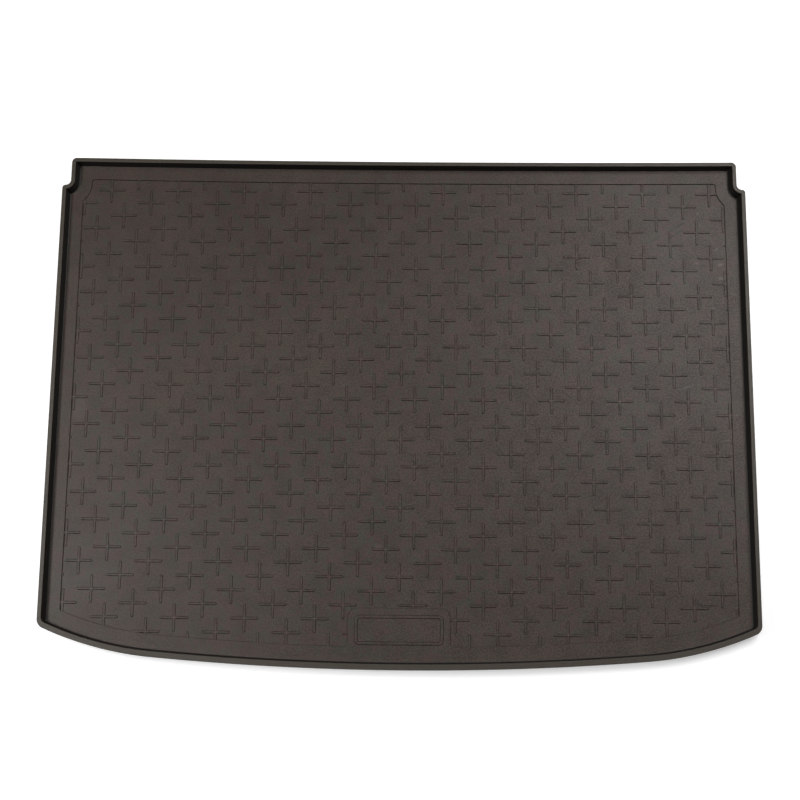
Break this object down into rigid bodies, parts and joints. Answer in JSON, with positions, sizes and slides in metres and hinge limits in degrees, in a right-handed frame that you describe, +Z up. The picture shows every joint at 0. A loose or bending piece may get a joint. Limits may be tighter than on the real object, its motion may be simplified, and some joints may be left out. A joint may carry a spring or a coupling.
{
  "type": "car boot liner",
  "caption": "Moulded rubber car boot liner: a shallow tray with a low lip, a floor of small cross ribs and a bare framed plate at the loading edge.",
  "frame": {"origin": "middle of the flat underside, under the centre of the outline's box", "axes": "+X across the car, +Y from the loading edge to the seats, +Z up out of the tray"},
  "size_m": [1.023, 0.756, 0.02],
  "materials": {
    "rubber": "matt, fine moulded grain, dark brown-grey"
  },
  "bodies": {
    "root": {"boot_liner": "rubber"}
  },
  "joints": []
}
